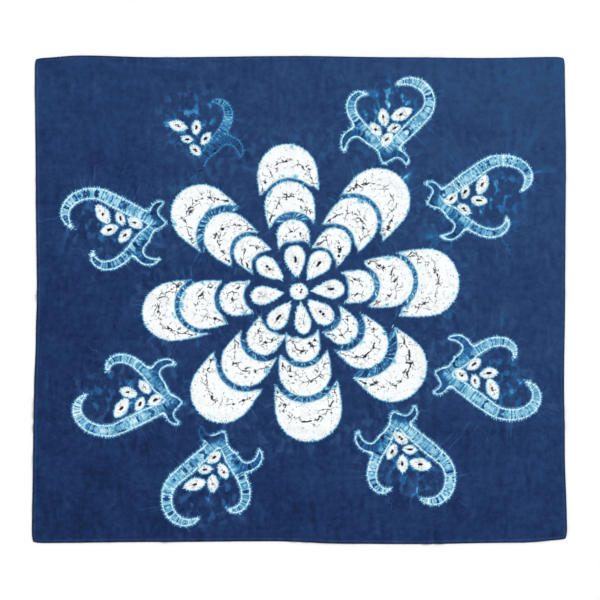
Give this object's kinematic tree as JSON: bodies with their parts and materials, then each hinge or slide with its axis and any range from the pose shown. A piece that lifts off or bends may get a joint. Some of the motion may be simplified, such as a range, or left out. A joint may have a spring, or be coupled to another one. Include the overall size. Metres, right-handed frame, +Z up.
{
  "type": "dyed cotton tablecloth",
  "caption": "Hemmed cotton tablecloth in indigo with a resist-dyed flower and scroll pattern, opened out flat with low fold creases.",
  "frame": {"origin": "middle of the underside, at the bottom of the bounding box", "axes": "+X along the long side, +Y along the short side towards the picture's top edge, +Z up out of the dyed face"},
  "size_m": [1.4999, 1.3701, 0.0098],
  "materials": {
    "indigo_cotton": "Matt plain-weave cotton, indigo ground with white and pale blue resist-dyed pattern, narrow stitched hem."
  },
  "bodies": {
    "root": {"cloth": "indigo_cotton"}
  },
  "joints": []
}
